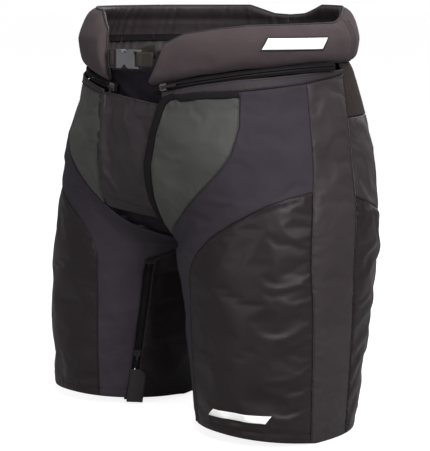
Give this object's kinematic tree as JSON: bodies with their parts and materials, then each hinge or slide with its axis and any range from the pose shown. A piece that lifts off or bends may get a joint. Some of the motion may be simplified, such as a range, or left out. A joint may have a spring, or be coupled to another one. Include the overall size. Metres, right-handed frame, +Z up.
{
  "type": "hockey pants",
  "caption": "Padded hockey pants with two wide zipped legs, a padded belt with a side-release buckle, and thigh, hip and tailbone pads inside.",
  "frame": {"origin": "on the floor under the middle of the standing pants: the bounding box's bottom centre", "axes": "+Z up from hems to belt, -Y the wearer's front, +X the wearer's left"},
  "size_m": [0.528, 0.3561, 0.59],
  "materials": {
    "satin_twill": "grey-green twill with a satin sheen",
    "stretch_knit": "matte navy-black stretch knit",
    "nylon_shell": "shiny brown-black nylon",
    "stripe_nylon": "matte charcoal nylon",
    "nylon_trim": "folded charcoal nylon",
    "black_tape": "black gathered cloth and tape",
    "zip_teeth": "moulded black coil",
    "belt_knit": "brownish charcoal knit",
    "belt_lining": "gathered charcoal lining",
    "foam": "closed-cell foam in a cloth sleeve",
    "guard_plastic": "moulded polyethylene sheet",
    "webbing": "woven polyester webbing",
    "buckle_grey": "satin grey acetal",
    "buckle_black": "dark acetal",
    "slider_metal": "dark enamelled zinc with worn bright edges",
    "pull_cord": "dark cord with a bright bead"
  },
  "bodies": {
    "shell": {"belt_cover_back": "belt_knit", "belt_cover_left": "belt_knit", "belt_cover_right": "belt_knit", "belt_foam_back": "foam", "belt_foam_left": "foam", "belt_foam_right": "foam", "belt_lining": "belt_lining", "buckle_plug": "buckle_black", "fly_binding": "black_tape", "fly_flap": "nylon_trim", "fly_gusset": "black_tape", "front_stretch_panel_left": "stretch_knit", "front_stretch_panel_right": "stretch_knit", "hip_pad_left": "foam", "hip_pad_right": "foam", "inseam_zip_tape_left": "black_tape", "inseam_zip_tape_right": "black_tape", "inseam_zip_teeth_left": "zip_teeth", "inseam_zip_teeth_right": "zip_teeth", "leg_hem_left": "nylon_trim", "leg_hem_right": "nylon_trim", "lower_front_panel_left": "nylon_shell", "lower_front_panel_right": "nylon_shell", "lower_rear_panel_left": "nylon_shell", "lower_rear_panel_right": "nylon_shell", "rear_stretch_yoke_left": "stretch_knit", "rear_stretch_yoke_right": "stretch_knit", "satin_front_panel_left": "satin_twill", "satin_front_panel_right": "satin_twill", "seat_panel_left": "nylon_shell", "seat_panel_right": "nylon_shell", "side_stripe_left": "stripe_nylon", "side_stripe_right": "stripe_nylon", "tailbone_pad": "foam", "thigh_guard_left": "guard_plastic", "thigh_guard_right": "guard_plastic", "thigh_pad_left": "foam", "thigh_pad_right": "foam", "waist_band_left": "nylon_trim", "waist_band_right": "nylon_trim", "waist_gusset": "black_tape", "waist_zip_tape_left": "black_tape", "waist_zip_tape_right": "black_tape", "waist_zip_teeth_left": "zip_teeth", "waist_zip_teeth_right": "zip_teeth", "webbing_left": "webbing", "webbing_right": "webbing"},
    "socket": {"buckle_socket": "buckle_grey"},
    "prong_upper": {"buckle_prong_upper": "buckle_black"},
    "prong_lower": {"buckle_prong_lower": "buckle_black"},
    "waist_slider_left": {"waist_slider_left": "slider_metal"},
    "waist_pull_left": {"waist_pull_left": "pull_cord"},
    "inseam_slider_left": {"inseam_slider_left": "slider_metal"},
    "inseam_pull_left": {"inseam_pull_left": "slider_metal"},
    "hem_tab_left": {"hem_tab_left": "nylon_trim"},
    "waist_slider_right": {"waist_slider_right": "slider_metal"},
    "waist_pull_right": {"waist_pull_right": "pull_cord"},
    "inseam_slider_right": {"inseam_slider_right": "slider_metal"},
    "inseam_pull_right": {"inseam_pull_right": "slider_metal"},
    "hem_tab_right": {"hem_tab_right": "nylon_trim"}
  },
  "joints": [
    {"name": "buckle_release", "type": "slide", "parent": "shell", "child": "socket", "axis": [1, 0, 0], "range_m": [0, 0.02], "deforming": ["webbing_left"]},
    {"name": "prong_upper_squeeze", "type": "hinge", "parent": "shell", "child": "prong_upper", "pos_m": [-0.0235, -0.168, 0.5244], "axis": [0, 1, 0], "range_deg": [0, 14]},
    {"name": "prong_lower_squeeze", "type": "hinge", "parent": "shell", "child": "prong_lower", "pos_m": [-0.0235, -0.168, 0.5096], "axis": [0, -1, 0], "range_deg": [0, 14]},
    {"name": "waist_zip_run_left", "type": "hinge", "parent": "shell", "child": "waist_slider_left", "pos_m": [0.0394, 0.012, 0.4764], "axis": [-0.177, 0, 0.9842], "range_deg": [0, 81]},
    {"name": "waist_pull_swing_left", "type": "hinge", "parent": "waist_slider_left", "child": "waist_pull_left", "pos_m": [0.05805, -0.16692, 0.47975], "axis": [0.177, 0, -0.9842], "range_deg": [0, 165]},
    {"name": "inseam_zip_run_left", "type": "slide", "parent": "shell", "child": "inseam_slider_left", "axis": [-0.1736, 0.0286, 0.9844], "range_m": [0, 0.13]},
    {"name": "inseam_pull_swing_left", "type": "hinge", "parent": "inseam_slider_left", "child": "inseam_pull_left", "pos_m": [0.06022, -0.10586, 0.08199], "axis": [-0.5105, 0.8522, -0.1148], "range_deg": [0, 160]},
    {"name": "hem_tab_fold_left", "type": "hinge", "parent": "shell", "child": "hem_tab_left", "pos_m": [0.07056, -0.11601, 0.03027], "axis": [-0.1736, 0.0286, 0.9844], "range_deg": [0, 150]},
    {"name": "waist_zip_run_right", "type": "hinge", "parent": "shell", "child": "waist_slider_right", "pos_m": [-0.0394, 0.012, 0.4764], "axis": [-0.177, 0, -0.9842], "range_deg": [0, 86.5]},
    {"name": "waist_pull_swing_right", "type": "hinge", "parent": "waist_slider_right", "child": "waist_pull_right", "pos_m": [-0.04403, -0.16784, 0.47723], "axis": [-0.9839, 0.0262, 0.1769], "range_deg": [0, 110]},
    {"name": "inseam_zip_run_right", "type": "slide", "parent": "shell", "child": "inseam_slider_right", "axis": [0.1736, 0.0286, 0.9844], "range_m": [0, 0.13]},
    {"name": "inseam_pull_swing_right", "type": "hinge", "parent": "inseam_slider_right", "child": "inseam_pull_right", "pos_m": [-0.06022, -0.10586, 0.08199], "axis": [-0.5105, -0.8522, 0.1148], "range_deg": [0, 160]},
    {"name": "hem_tab_fold_right", "type": "hinge", "parent": "shell", "child": "hem_tab_right", "pos_m": [-0.07056, -0.11601, 0.03027], "axis": [-0.1736, -0.0286, -0.9844], "range_deg": [0, 150]}
  ],
  "couplings": [
    {"joint": "prong_upper_squeeze", "follows": "buckle_release", "rad_per_m": 12},
    {"joint": "prong_lower_squeeze", "follows": "buckle_release", "rad_per_m": 12}
  ]
}
